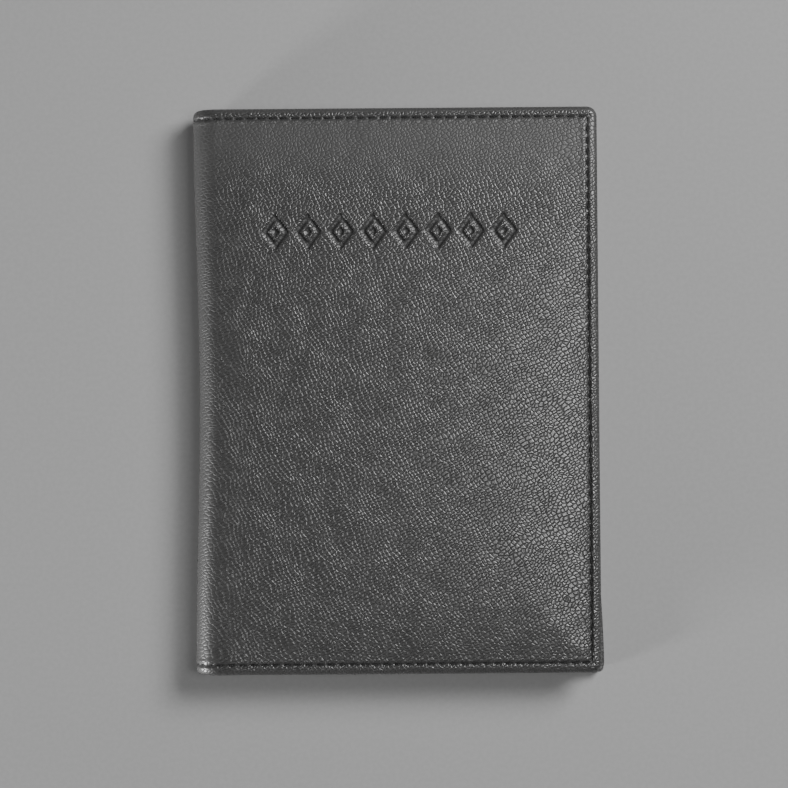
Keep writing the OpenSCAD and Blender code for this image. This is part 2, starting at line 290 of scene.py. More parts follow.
def cover_skin(name, side, columns, rows, height, grain, pressed):
    """One cover's outer leather with its turned-in edges and its half of the
    spine, as one closed mesh. height, grain and pressed are functions of (s, t)."""
    nx, ny = len(columns) - 1, len(rows) - 1
    flat_s, flat_t = np.meshgrid(columns, rows, indexing="ij")
    grid_s, grid_t = rounded(flat_s, flat_t, EDGE_S, EDGE_T, CORNER_R)
    index = np.arange((nx + 1) * (ny + 1)).reshape(nx + 1, ny + 1)
    points = [wrap(grid_s, grid_t, -height(grid_s, grid_t), side).reshape(-1, 3)]
    places = [np.stack([grid_s, grid_t], -1).reshape(-1, 2)]
    strengths = [grain(grid_s, grid_t).reshape(-1)]
    faces = quads(index).tolist()

    # The turned edge: one loop of points after another along its profile.
    ring = np.concatenate([index[:, ny], index[nx, :ny][::-1], index[:nx, 0][::-1]])
    ring_s, ring_t = grid_s.reshape(-1)[ring], grid_t.reshape(-1)[ring]
    ring_grain = strengths[0][ring]
    around = len(ring)
    out_s, out_t = turned_in(ring_s, ring_t, 1.0)
    out_s, out_t = out_s - ring_s, out_t - ring_t
    count = index.size
    inner = ring
    walked, last = 0.0, (0.0, 0.0)
    loops = []
    for reach, depth in turned_edge():
        walked += math.hypot(reach - last[0], depth - last[1])
        last = (reach, depth)
        s, t = turned_in(ring_s, ring_t, reach)
        points.append(wrap(s, t, depth, side))
        places.append(np.stack([ring_s + out_s * walked, ring_t + out_t * walked], -1))
        strengths.append(ring_grain * np.where(ring_t > EDGE_T - 1, TURNED_HEAD_GRAIN,
                                                TURNED_GRAIN))
        outer = np.arange(count, count + around)
        count += around
        faces += np.stack([inner[:-1], inner[1:], outer[1:], outer[:-1]], -1).tolist()
        inner = outer
        loops.append(outer)

    # The hidden inner face: strips across the bend, and one flat face beyond it.
    flat_column = int(np.searchsorted(columns, ROLL_X))
    across = 13
    heads = inner[:flat_column + 1]
    tails = inner[::-1][:flat_column + 1]
    wall_t = EDGE_T + EDGE_R - LEATHER_T
    inner_rows = np.linspace(wall_t, -wall_t, across)[1:-1]
    s, t = np.meshgrid(columns[:flat_column + 1], inner_rows, indexing="ij")
    points.append(wrap(s, t, LEATHER_T, side).reshape(-1, 3))
    places.append(np.stack([s, t], -1).reshape(-1, 2))
    strengths.append(np.zeros(s.size))
    middle = count + np.arange(s.size).reshape(s.shape)
    strip = np.concatenate([heads[:, None], middle, tails[:, None]], 1)
    faces += quads(strip).tolist()
    flat_ring = inner[flat_column:around - flat_column]
    faces.append(list(flat_ring) + list(strip[-1, 1:-1][::-1]))

    # The cut across the middle of the spine, where the two halves meet.
    cut = list(index[0, :]) + [loop[0] for loop in loops] + list(strip[0, 1:-1])
    cut += [loop[-1] for loop in loops[::-1]]
    faces.append(cut)

    places = np.concatenate(places)
    near_spine = ROLL_X + STRETCH_REACH - places[:, 0]
    places[:, 0] += SPINE_STRETCH * np.logaddexp(0, near_spine)
    if side == "back":
        places[:, 0] = 2 * places[0, 0] - places[:, 0]
    marked = np.zeros(len(places))
    marked[:index.size] = pressed(grid_s, grid_t).reshape(-1)
    obj = make_mesh(name, np.concatenate(points), [[int(i) for i in f] for f in faces],
                    places, np.concatenate(strengths), marked)
    outward(obj)
    return obj


def outward(obj):
    """Turns a closed mesh's faces outwards."""
    work = bmesh.new()
    work.from_mesh(obj.data)
    bmesh.ops.recalc_face_normals(work, faces=work.faces)
    work.to_mesh(obj.data)
    work.free()


def slab(name, side, columns, rows, inner_depth, thickness, lift=None, left=None,
         corner=0.0, grain=1.0, soft_edge=0.12):
    """A sheet of leather, cloth, foam or board as a closed mesh. inner_depth is the
    depth of the face towards the passport. lift raises the sheet towards the
    passport, as a function of (s, t), and left gives its left edge, as a function
    of t."""
    nx, ny = len(columns) - 1, len(rows) - 1
    s, t = np.meshgrid(columns, rows, indexing="ij")
    if left is not None:
        share = (columns[-1] - s) / (columns[-1] - columns[0])
        s = s + (left(t) - columns[0]) * share
    if corner:
        s, t = rounded(s, t, columns[-1], rows[-1], corner)
    raised = np.zeros_like(s) if lift is None else lift(s, t)
    face = wrap(s, t, inner_depth + raised, side).reshape(-1, 3)
    under = wrap(s, t, inner_depth - thickness + raised, side).reshape(-1, 3)
    index = np.arange(s.size).reshape(s.shape)
    ring = np.concatenate([index[:, 0], index[nx, 1:], index[:nx, ny][::-1],
                           index[0, 1:ny][::-1]])
    middle_s, middle_t = s.reshape(-1)[ring], t.reshape(-1)[ring]
    before = np.roll(np.arange(len(ring)), 1)
    after = np.roll(np.arange(len(ring)), -1)
    along_s = middle_s[after] - middle_s[before]
    along_t = middle_t[after] - middle_t[before]
    length = np.maximum(np.hypot(along_s, along_t), 1e-9)
    edge = wrap(middle_s + along_t / length * soft_edge,
                middle_t - along_s / length * soft_edge,
                inner_depth - thickness / 2 + raised.reshape(-1)[ring], side)
    n = s.size
    ring_in, ring_edge, ring_under = ring, 2 * n + np.arange(len(ring)), ring + n
    faces = quads(index).tolist() + (quads(index)[:, ::-1] + n).tolist()
    for a, b in ((ring_in, ring_edge), (ring_edge, ring_under)):
        faces += np.stack([a, b, np.roll(b, -1), np.roll(a, -1)], -1).tolist()
    flat = np.stack([s, t], -1).reshape(-1, 2)
    developed = np.concatenate([flat, flat + (UNDER_SHIFT, 0), flat[ring]])
    obj = make_mesh(name, np.concatenate([face, under, edge]), faces, developed,
                    np.full(len(developed), grain))
    outward(obj)
    return obj


def stitches(name, side, rows):
    """Rows of single stitches as one mesh. Each row is a list of
    (place, next place, depth of the face, 1 outside or -1 inside)."""
    sides, rings = ((8, 9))
    ring_at = np.linspace(0, 1, rings)
    angle = np.arange(sides) * 2 * math.pi / sides
    points, faces, developed = [], [], []
    for start, end, face, out in rows:
        start, end = np.array(start), np.array(end)
        along = end - start
        length = np.hypot(*along)
        along = along / length
        across = np.array([-along[1], along[0]])
        first = start + along * STITCH_GAP - across * STITCH_SLANT
        last = end - along * STITCH_GAP + across * STITCH_SLANT
        base = len(points)
        for a in ring_at:
            centre = first + (last - first) * a
            arch = math.sin(math.pi * a) ** 0.45
            depth = face + out * (STITCH_SUNK - STITCH_RISE * arch)
            radius = THREAD_D / 2 * (STITCH_END + STITCH_SWELL * arch)
            for b in angle:
                place = centre + across * radius * math.cos(b)
                points.append((place[0], place[1], depth + radius * math.sin(b)))
                developed.append((a * length,
                                  b / (2 * math.pi) * THREAD_D * THREAD_AROUND))
        for i in range(rings - 1):
            for j in range(sides):
                k = (j + 1) % sides
                faces.append([base + i * sides + j, base + i * sides + k,
                              base + (i + 1) * sides + k, base + (i + 1) * sides + j])
        faces.append([base + j for j in range(sides)][::-1])
        faces.append([base + (rings - 1) * sides + j for j in range(sides)])
    p = np.array(points)
    obj = make_mesh(name, wrap(p[:, 0], p[:, 1], p[:, 2], side), faces, developed)
    outward(obj)
    return obj


# ------------------------------------------------------------ the foam's crown

def inflate():
    """Cloth simulation of the front leather over its foam: a sheet held down at
    the seams and the spine and pushed up from below. Returns (columns, rows, heights), with
    the heights as shares of the highest."""
    big = 0.01                       # simulated ten times larger than life
    step = 2.0
    columns = marks((ROLL_X, SEAM_X, step))
    rows = marks((-SEAM_Y, SEAM_Y, step))
    s, t = np.meshgrid(columns, rows, indexing="ij")
    index = np.arange(s.size).reshape(s.shape)
    mesh = bpy.data.meshes.new("crown_cloth")
    flat = np.stack([s, t, np.zeros_like(s)], -1).reshape(-1, 3) * big
    mesh.from_pydata(flat.tolist(), [], quads(index).tolist())
    obj = add_object("crown_cloth", mesh)
    held = np.unique(np.concatenate([index[0], index[-1], index[:, 0], index[:, -1]]))
    obj.vertex_groups.new(name="sewn").add(held.tolist(), 1.0, "REPLACE")
    cloth = obj.modifiers.new("Cloth", "CLOTH")
    cloth.settings.quality = 6
    cloth.settings.mass = 0.3
    cloth.settings.tension_stiffness = 30
    cloth.settings.compression_stiffness = 30
    cloth.settings.shear_stiffness = 10
    cloth.settings.bending_stiffness = 0.8
    cloth.settings.shrink_min = cloth.settings.shrink_max = -0.012
    cloth.settings.vertex_group_mass = "sewn"
    cloth.settings.use_pressure = True
    cloth.settings.uniform_pressure_force = 3.0
    cloth.settings.effector_weights.gravity = 0
    cloth.settings.air_damping = 3
    cloth.collision_settings.use_collision = False
    scene = bpy.context.scene
    last_frame = 20
    cloth.point_cache.frame_start = 1
    cloth.point_cache.frame_end = last_frame
    for number in range(1, last_frame + 1):
        scene.frame_set(number)
    done = obj.evaluated_get(bpy.context.evaluated_depsgraph_get()).to_mesh()
    moved = np.array([v.co[:] for v in done.vertices]) / big
    bpy.data.objects.remove(obj)
    scene.frame_set(1)
    heights = np.abs(moved[:, 2]).reshape(s.shape)
    return columns, rows, heights / heights.max()


crown_columns, crown_rows, crown_heights = inflate()


def crown(s, t):
    """The simulated lift at (s, t), as a share of its highest."""
    i = np.clip(np.searchsorted(crown_columns, s) - 1, 0, len(crown_columns) - 2)
    j = np.clip(np.searchsorted(crown_rows, t) - 1, 0, len(crown_rows) - 2)
    a = np.clip((s - crown_columns[i]) / (crown_columns[i + 1] - crown_columns[i]), 0, 1)
    b = np.clip((t - crown_rows[j]) / (crown_rows[j + 1] - crown_rows[j]), 0, 1)
    h = crown_heights
    low = h[i, j] * (1 - b) + h[i, j + 1] * b
    high = h[i + 1, j] * (1 - b) + h[i + 1, j + 1] * b
    return low * (1 - a) + high * a


# ------------------------------------------------------------ surface relief

def seam_distance(s, t):
    """Distance from the main seam, and the place along it, at (s, t)."""
    from_row = np.abs(np.abs(t) - SEAM_Y)
    from_side = np.abs(s - SEAM_X)
    row = np.where(s < SEAM_X + 1, from_row, np.inf)
    column = np.where(np.abs(t) < SEAM_Y + 1, from_side, np.inf)
    along = np.where(row < column, SEAM_X - s, t)
    return np.minimum(row, column), along


def groove(distance, along):
    """Relief of a sewn line: a channel under each stitch, a bridge of leather
    between two stitches, and lips that swell between the holes."""
    hole = along - PITCH * np.round(along / PITCH)
    bridge = BRIDGE * bell(hole, BRIDGE_W)
    relief = -GROOVE * bell(distance, GROOVE_W) * (1 - bridge)
    pull = np.cos(2 * math.pi * along / PITCH)
    return relief + (LIP - LIP_PULL * pull) * bell(distance - LIP_OUT, LIP_W)


def lozenge_band(s, t):
    """1 inside the pressed shapes, 0 outside, with a soft step between."""
    across = (s - BAND_S) / LOZENGE_STEP + (LOZENGES - 1) / 2
    number = np.clip(np.round(across), 0, LOZENGES - 1)
    u = (across - number) * LOZENGE_STEP / (LOZENGE_W / 2)
    v = (t - BAND_T) / (LOZENGE_H / 2)
    size = np.abs(u) + np.abs(v)
    soft = 0.07
    outline = smooth((1 - size) / soft + 0.5) - smooth((LOZENGE_RING - size) / soft + 0.5)
    core = smooth((LOZENGE_CORE - size) / soft + 0.5)
    return np.clip(outline + core, 0, 1)


def near_edge(s, t):
    """Distance inside the line where the leather starts to turn."""
    return np.minimum(EDGE_S - s, EDGE_T - np.abs(t))


def edge_fade(s, t):
    """1 on the flat of a cover, falling to 0 where the leather turns."""
    return smooth(near_edge(s, t) / 0.4 + 0.2)


def front_height(s, t):
    """Relief of the front cover's outer face, in mm outwards: the crown, half
    simulated and half fitted beside the seams, the rim outside the seams, the
    stitches' groove and the pressed band."""
    distance, along = seam_distance(s, t)
    inside = (s < SEAM_X) & (np.abs(t) < SEAM_Y)
    fullness = np.where(inside, 1 - np.exp(-distance / SEAM_RISE), 0)
    roll = smooth((s - ROLL_X + 2) / 10)
    head = HEAD_FULL + (1 - HEAD_FULL) * smooth((SEAM_Y - t) / HEAD_REACH)
    lift = CROWN * (0.5 * fullness + 0.5 * crown(s, t)) * head * np.where(inside, roll, 0)
    rim = RIM * smooth(near_edge(s, t) / RIM_RISE) * (1 - inside)
    rim_of_band = BAND_RIM * bell(np.abs(t - BAND_T) - LOZENGE_H / 2 - 0.8, 1.0)
    rim_of_band = rim_of_band * (np.abs(s - BAND_S) < LOZENGES * LOZENGE_STEP / 2)
    relief = groove(distance, along) * edge_fade(s, t)
    return lift + relief + rim + rim_of_band - DEBOSS * lozenge_band(s, t)


def back_height(s, t):
    """Relief of the back cover's outer face, which lies flat on the table."""
    distance, along = seam_distance(s, t)
    return np.minimum(groove(distance, along), 0) * edge_fade(s, t)


def front_grain(s, t):
    """Strength of the front's grain: pulled smooth under the head seam and round
    the spine, and pressed flat in the lozenges."""
    head = 1 - HEAD_PULLED * smooth((t - SEAM_Y + 24) / 20) * (t < SEAM_Y)
    spine = 1 - FRONT_PULLED * smooth((ROLL_X - s) / 4)
    return head * spine * (1 - BAND_GRAIN_LOST * lozenge_band(s, t))


def back_grain(s, t):
    """Strength of the back's grain: pulled smooth round the spine."""
    return 1 - BACK_PULLED * smooth((ROLL_X - s) / 4)


def seam_press(s, t):
    """How hard the leather was pressed along the seam."""
    return PRESS * bell(seam_distance(s, t)[0], PRESS_W)


def front_press(s, t):
    """How hard the front was pressed, in the seam and the lozenges."""
    return np.maximum(seam_press(s, t), lozenge_band(s, t))


def cover_marks(fine):
    """Grid lines of a cover: close at the seams, wider in the field. fine is
    for the front, whose band of lozenges is drawn too."""
    field = 0.55 if fine else 0.8
    band = 0.4
    seam = 0.27
    near_seam = 2.2
    band_half = LOZENGES * LOZENGE_STEP / 2
    corner = (EDGE_S - CORNER_R, EDGE_S, CORNER_R / 3)
    columns = [(SPINE_S, ROLL_X, field), (ROLL_X, BAND_S - band_half, field)]
    columns += [(BAND_S - band_half, BAND_S + band_half, band if fine else field),
                (BAND_S + band_half, SEAM_X - near_seam, field),
                (SEAM_X - near_seam, corner[0], seam), corner]
    top = (EDGE_T - CORNER_R, EDGE_T, CORNER_R / 3)
    bottom = (-EDGE_T, CORNER_R - EDGE_T, CORNER_R / 3)
    low_t, high_t = BAND_T - LOZENGE_H / 2 - 0.6, BAND_T + LOZENGE_H / 2 + 0.6
    rows = [bottom, (bottom[1], near_seam - SEAM_Y, seam),
            (near_seam - SEAM_Y, low_t, field),
            (low_t, high_t, band * 0.85 if fine else field),
            (high_t, SEAM_Y - near_seam, field), (SEAM_Y - near_seam, top[0], seam), top]
    return marks(*columns), marks(*rows)


# ------------------------------------------------------------ materials

class Shader:
    """A node material under construction."""

    def __init__(self, name):
        self.material = bpy.data.materials.new(name)
        self.material.use_nodes = True
        self.tree = self.material.node_tree
        self.tree.nodes.clear()
        self.output = self.tree.nodes.new("ShaderNodeOutputMaterial")

    def add(self, kind, inputs=None, out=0, **settings):
        """Adds a node, sets or links its inputs and returns one output."""
        node = self.tree.nodes.new(kind)
        for key, value in settings.items():
            setattr(node, key, value)
        for key, value in (inputs or {}).items():
            if isinstance(value, bpy.types.NodeSocket):
                self.tree.links.new(value, node.inputs[key])
            else:
                node.inputs[key].default_value = value
        return node.outputs[out]

    def math(self, operation, a, b=0.0, clamp=False):
        return self.add("ShaderNodeMath", {0: a, 1: b}, operation=operation,
                        use_clamp=clamp)

    def ramp(self, value, low, high, to_low=0.0, to_high=1.0):
        """value from low..high to to_low..to_high, smoothly."""
        return self.add("ShaderNodeMapRange",
                        {"Value": value, "From Min": low, "From Max": high,
                         "To Min": to_low, "To Max": to_high},
                        interpolation_type="SMOOTHSTEP")

    def mix(self, share, dark, light):
        """A colour between two."""
        return self.add("ShaderNodeMix", {0: share, 6: dark, 7: light}, out=2,
                        data_type="RGBA")

    def noise(self, place, scale, detail, out=0, dimensions="2D", **more):
        """Noise with so many features to a unit of place."""
        return self.add("ShaderNodeTexNoise",
                        {"Vector": place, "Scale": scale, "Detail": detail, **more},
                        out=out, noise_dimensions=dimensions)

    def cells(self, place, scale, loose, feature, out=0):
        """Cells in rows, the looser the less regular."""
        return self.add("ShaderNodeTexVoronoi",
                        {"Vector": place, "Scale": scale, "Randomness": loose},
                        out=out, feature=feature, voronoi_dimensions="2D")

    def bump(self, strength, depth, height):
        """A bumped normal. depth is in mm."""
        return self.add("ShaderNodeBump", {"Strength": strength, "Distance": depth * MM,
                                           "Height": height})

    def place(self):
        """The place on the flat hide or cloth, in mm."""
        return self.add("ShaderNodeAttribute", attribute_name="developed", out=1)

    def surface(self, inputs):
        shader = self.add("ShaderNodeBsdfPrincipled", inputs)
        self.tree.links.new(shader, self.output.inputs["Surface"])
        return self.material


def grey(value, warm=0.0):
    """A grey, with its red raised and its blue lowered by the share warm."""
    return (value * (1 + warm), value, value * (1 - warm), 1.0)


def leather(name, cell=0.92, relief=0.095, tone=0.062, gloss=0.27):
    """Pebbled black leather: domed cells in loose rows with creases between them,
    coloured with painted shade, laid out on the flat hide so that they follow every
    bend. cell and relief are in mm, and gloss is the pebbles' roughness."""
    sh = Shader(name)
    place = sh.place()
    strength = sh.add("ShaderNodeAttribute", attribute_name="grain", out=2)
    pressed = sh.add("ShaderNodeAttribute", attribute_name="pressed", out=2)

    # Where the cells lie: in rows, turned and drawn out, that drift a little.
    drift = sh.noise(place, 0.10 / cell, 1.0, out=1)
    drift = sh.add("ShaderNodeVectorMath", {0: drift, 1: (0.5, 0.5, 0.5)},
                   operation="SUBTRACT")
    drift = sh.add("ShaderNodeVectorMath", {0: drift, "Scale": 3.0 * cell},
                   operation="SCALE")
    moved = sh.add("ShaderNodeVectorMath", {0: place, 1: drift}, operation="ADD")
    moved = sh.add("ShaderNodeMapping", {"Vector": moved,
                                         "Rotation": (0, 0, math.radians(26)),
                                         "Scale": (1.15, 0.90, 1.0)},
                   vector_type="TEXTURE")
    loose = 0.72
    creases = sh.cells(moved, 1 / cell, loose, "DISTANCE_TO_EDGE")
    own = sh.cells(moved, 1 / cell, loose, "F1", out=1)
    patch = sh.noise(place, 0.25 / cell, 2.0)
    pores = sh.noise(place, 2.6 / cell, 2.0, Roughness=0.6)

    # Each pebble is domed to its own height and finely pored.
    full = sh.add("ShaderNodeSeparateColor", {"Color": own})
    full = sh.ramp(full, 0.0, 1.0, 0.72, 1.0)
    pebble = sh.math("MULTIPLY", sh.ramp(creases, -0.06, 0.27), full)
    height = sh.math("ADD", pebble, sh.math("MULTIPLY", pores, 0.14))
    bump = sh.bump(sh.math("MULTIPLY", strength, 1.0, True), relief, height)

    # Painted shade: the creases are coloured dark, but less so where the grain is
    # weak; the patches vary the tone. What was pressed is darker all over.
    painted_crease_shade_and_tone = sh.math("MULTIPLY", sh.ramp(creases, -0.02, 0.26),
                    sh.ramp(patch, 0.3, 0.7, 0.85, 1.0))
    soft = sh.ramp(strength, 0.3, 1.0, 0.55, 0.0)
    painted_crease_shade_and_tone = sh.math("MAXIMUM", painted_crease_shade_and_tone, soft)
    painted_crease_shade_and_tone = sh.math("MULTIPLY", painted_crease_shade_and_tone, sh.math("SUBTRACT", 1.0,
                                               sh.math("MULTIPLY", pressed, 0.7)))
    colour = sh.mix(painted_crease_shade_and_tone, grey(tone * 0.07), grey(tone, 0.01))

    # The creases are duller than the pebbles, and so are weak grain and pressed parts.
    worn = sh.ramp(pores, 0.35, 0.7, gloss - 0.04, gloss + 0.06)
    rough = sh.math("ADD", worn, sh.ramp(creases, 0.02, 0.20, 0.40, 0.0))
    rough = sh.math("ADD", rough, sh.ramp(strength, 0.4, 1.0, 0.11, 0.0))
    rough = sh.math("ADD", rough, sh.math("MULTIPLY", pressed, 0.10))
    return sh.surface({"Base Color": colour, "Roughness": rough, "Normal": bump,
                       "Specular IOR Level": 1.0})


def thread_material():
    """Twisted black thread: two plies winding round each other."""
    sh = Shader("thread")
    place = sh.place()
    parts = sh.add("ShaderNodeSeparateXYZ", {"Vector": place})
    round_it = parts.node.outputs[1]
    plies, lay = 2, 9.0              # two plies, turning 9 radians to a mm
    per_mm = 2 * math.pi / (THREAD_D * THREAD_AROUND) * plies
    phase = sh.math("ADD", sh.math("MULTIPLY", parts, lay),
                    sh.math("MULTIPLY", round_it, per_mm))
    ply = sh.math("SINE", phase)
    bump = sh.bump(0.6, 0.06, ply)
    fuzz = sh.noise(place, 9.0, 2.0)
    # Painted shade: the grooves between the plies are coloured darker than their crests.
    colour = sh.mix(sh.ramp(ply, -1.0, 1.0), grey(0.006), grey(0.022))
    rough = sh.ramp(fuzz, 0.3, 0.7, 0.5, 0.72)
    return sh.surface({"Base Color": colour, "Roughness": rough, "Normal": bump,
                       "Specular IOR Level": 0.4})


def cloth_material():
    """Plain woven lining: warp over weft, with uneven yarns."""
    yarn = 0.42                      # mm from one yarn to the next
    tone = 0.022
    sh = Shader("lining_cloth")
    place = sh.place()
    parts = sh.add("ShaderNodeSeparateXYZ", {"Vector": place})
    turns = math.pi / yarn
    warp = sh.math("SINE", sh.math("MULTIPLY", parts, turns))
    weft = sh.math("SINE", sh.math("MULTIPLY", parts.node.outputs[1], turns))
    over = sh.math("MULTIPLY", warp, weft)
    slub = sh.noise(place, 1.1, 3.0)
    height = sh.math("ADD", sh.math("ABSOLUTE", over), sh.math("MULTIPLY", slub, 0.5))
    bump = sh.bump(0.7, 0.07, height)
    # Painted shade: the low parts between the yarns are coloured darker; the slubs vary the
    # tone at random.
    colour = sh.mix(sh.ramp(height, 0.0, 1.3), grey(tone * 0.35), grey(tone, -0.03))
    rough = sh.ramp(slub, 0.3, 0.7, 0.7, 0.9)
    return sh.surface({"Base Color": colour, "Roughness": rough, "Normal": bump,
                       "Sheen Weight": 0.15, "Sheen Roughness": 0.5})


def foam_material():
    """Open-cell foam."""
    sh = Shader("foam")
    place = sh.place()
    cells = sh.cells(place, 2.2, 1.0, "DISTANCE_TO_EDGE")
    speckle = sh.noise(place, 1.4, 4.0)
    bump = sh.bump(0.8, 0.1, cells)
    colour = sh.mix(sh.ramp(speckle, 0.3, 0.7), grey(0.07), grey(0.13))
    rough = sh.ramp(cells, 0.0, 0.3, 0.95, 0.8)
    return sh.surface({"Base Color": colour, "Roughness": rough, "Normal": bump})


def board_material():
    """Pressed grey-brown board with short fibres."""
    sh = Shader("board")
    place = sh.place()
    long = sh.add("ShaderNodeMapping", {"Vector": place, "Scale": (0.25, 2.2, 1.0)})
    fibre = sh.noise(long, 1.3, 5.0)
    bump = sh.bump(0.4, 0.05, fibre)
    brown, tan = (0.20, 0.16, 0.11, 1), (0.36, 0.30, 0.22, 1)
    colour = sh.mix(sh.ramp(fibre, 0.3, 0.7), brown, tan)
    rough = sh.ramp(fibre, 0.3, 0.7, 0.8, 0.95)
    return sh.surface({"Base Color": colour, "Roughness": rough, "Normal": bump})


def floor_material():
    """Plain pale grey paper."""
    sh = Shader("backdrop")
    place = sh.add("ShaderNodeTexCoord", out=3)
    tooth = sh.noise(place, 900.0, 2.0, dimensions="3D")
    bump = sh.bump(0.15, 0.05, tooth)
    colour = sh.mix(sh.ramp(tooth, 0.3, 0.7), grey(0.385), grey(0.405))
    return sh.surface({"Base Color": colour, "Roughness": 0.85, "Normal": bump,
                       "Specular IOR Level": 0.2})


LEATHER = leather("pebbled_leather")
SMOOTH_LEATHER = leather("sleeve_leather", cell=0.75, relief=0.05, tone=0.06,
                         gloss=0.42)
THREAD = thread_material()
CLOTH = cloth_material()
FOAM = foam_material()
BOARD = board_material()


def finish_piece(obj, material, slot, *nodes):
    """Gives a piece its material and hides the CAD nodes it stands for. slot is not used.
    """
    obj.data.materials.append(material)
    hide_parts(*nodes)


def bend_with_spine(obj):
    """Bakes obj's transform into its mesh. Its bend round the spine comes from wrap() when
    it is made.
    """
    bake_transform(obj)


# ------------------------------------------------------------ the two covers

def inner_face(s, t, side):
    """Depth of what the inner stitches lie on at (s, t)."""
    if side == "back":
        return back_sleeve_high[2] if s > back_sleeve_low[0] else COVER_T
    if s > lower_low[0] and t < lower_high[1]:
        return THICK - lower_low[2]
    if s > upper_low[0] and t < upper_high[1]:
        return THICK - upper_low[2]
    if s > front_sleeve_low[0]:
        return THICK - front_sleeve_low[2]
    return COVER_T


def u_seam():
    """The places of the main seam's stitches: the free edge's, the tail's and the
    head's."""
    side_count = int(SEAM_Y // PITCH)
    places = []
    for i in range(-side_count, side_count):
        places.append(((SEAM_X, i * PITCH), (SEAM_X, (i + 1) * PITCH)))
    row_count = int((SEAM_X - SPINE_S) // PITCH)
    for t in (-SEAM_Y, SEAM_Y):
        for i in range(row_count):
            places.append(((SEAM_X - i * PITCH, t), (SEAM_X - (i + 1) * PITCH, t)))
    return places


LAYER_GAP = 0.02                     # kept free between two layers of a cover
LINING_IN = 0.1                      # the lining's edge, in from its CAD edge
LINING_T = 0.26


def make_cover(side, fine, height, grain, pressed):
    """A cover's leather, core, lining and main seam."""
    columns, rows = cover_marks(fine)
    skin = cover_skin(side + "_cover_leather", side, columns, rows, height, grain,
                      pressed)
    finish_piece(skin, LEATHER, "leather", side + "_leather", "spine_leather")
    bend_with_spine(skin)

    coarse = 4.0
    for part, low, high, slot, material in (
            ("padding", padding_low, padding_high, "foam", FOAM),
            ("board", board_low, board_high, "board", BOARD)):
        core_columns = marks((ROLL_X + 0.5, high[0] - 1, coarse),
                             (high[0] - 1, high[0], 0.5))
        core_rows = marks((-high[1], 1 - high[1], 0.5), (1 - high[1], high[1] - 1, coarse),
                          (high[1] - 1, high[1], 0.5))
        core = slab(f"{side}_cover_{part}", side, core_columns, core_rows,
                    high[2] - LAYER_GAP, high[2] - low[2] - 2 * LAYER_GAP,
                    corner=1.0, soft_edge=0.0)
        finish_piece(core, material, slot, f"{side}_{part}")
        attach(core, side + "_cover")

    right, top = lining_high[0] - LINING_IN, lining_high[1] - LINING_IN
    lining_columns = marks((SPINE_S, ROLL_X, 0.7), (ROLL_X, right - 1, coarse / 2),
                           (right - 1, right, 0.5))
    lining_rows = marks((-top, 1 - top, 0.5), (1 - top, top - 1, coarse / 2),
                        (top - 1, top, 0.5))
    lining = slab(side + "_cover_lining", side, lining_columns, lining_rows,
                  lining_high[2] - LAYER_GAP, LINING_T, corner=1.0, soft_edge=0.0)
    finish_piece(lining, CLOTH, "lining_cloth", side + "_lining", "spine_lining")
    bend_with_spine(lining)

    outer = stitches(side + "_outer_seam", side,
                     [(a, b, 0.0, 1) for a, b in u_seam()])
    inner = stitches(side + "_inner_seam", side,
                     [(a, b, inner_face((a[0] + b[0]) / 2, (a[1] + b[1]) / 2, side), -1)
                      for a, b in u_seam()])
    finish_piece(outer, THREAD, "thread", side + "_seam_outer_thread", "spine_seam_thread")
    finish_piece(inner, THREAD, "thread", side + "_seam_inner_thread", "spine_seam_thread")
    for seam in (outer, inner):
        bend_with_spine(seam)


make_cover("front", True, front_height, front_grain, front_press)
make_cover("back", False, back_height, back_grain, seam_press)


# ------------------------------------------------------------ sleeves and card pockets

SHEET_GRAIN = 0.8                    # strength of the sleeves' and pockets' grain
SLACK, SLACK_REACH = 0.12, 12.0      # a sewn sheet's billow, and how soon it is full


def sleeve_marks(low, high):
    """Grid lines of a sleeve or pocket: close along its rows of stitches."""
    fine = 0.35
    wide = 1.4
    columns = marks((low[0], low[0] + 3, fine), (low[0] + 3, high[0] - 4, wide),
                    (high[0] - 4, high[0] - CORNER_R, fine),
                    (high[0] - CORNER_R, high[0], 0.4))
    rows = marks((low[1], low[1] + CORNER_R, 0.4), (low[1] + CORNER_R, low[1] + 4, fine),
                 (low[1] + 4, high[1] - 4, wide), (high[1] - 4, high[1] - CORNER_R, fine),
                 (high[1] - CORNER_R, high[1], 0.4))
    return columns, rows


def sheet_lift(left, top=None):
    """Relief of a sewn sheet's inner face, in mm towards the passport: its seam
    grooves, the row along its free edge, and a little slack in the field."""
    def lift(s, t):
        distance, along = seam_distance(s, t)
        relief = SHEET_GROOVE * np.minimum(groove(distance, along), 0)
        free_edge = groove(np.abs(s - left(t) - EDGE_ROW_IN), t)
        relief = relief + SHEET_GROOVE * np.minimum(free_edge, 0)
        if top is not None:
            relief = relief + SHEET_GROOVE * np.minimum(
                groove(np.abs(t - top + EDGE_ROW_IN), SEAM_X - s - PITCH / 2), 0)
        slack = SLACK * smooth(distance / SLACK_REACH)
        return relief + slack * (0.6 + 0.4 * np.sin(s * 0.11 + 1) * np.cos(t * 0.07))
    return lift


def edge_row(left, low_t, high_t, side):
    """Stitches down a sheet's free edge, at left(t) plus the row's distance in."""
    row = []
    for i in range(math.ceil(low_t / PITCH), math.floor(high_t / PITCH)):
        places = [(float(left(np.float64(k * PITCH))) + EDGE_ROW_IN, k * PITCH)
                  for k in (i, i + 1)]
        middle = ((places[0][0] + places[1][0]) / 2, (i + 0.5) * PITCH)
        row.append((places[0], places[1], inner_face(*middle, side), -1))
    return row


def notched_left(t):
    """The back sleeve's free edge, with a thumb notch at mid-height."""
    depth, half = 6.0, 15.0
    return back_sleeve_low[0] + depth * smooth(1 - np.abs(t) / half)


def straight_left(t):
    """The front sleeve's free edge."""
    return front_sleeve_low[0] + 0 * t


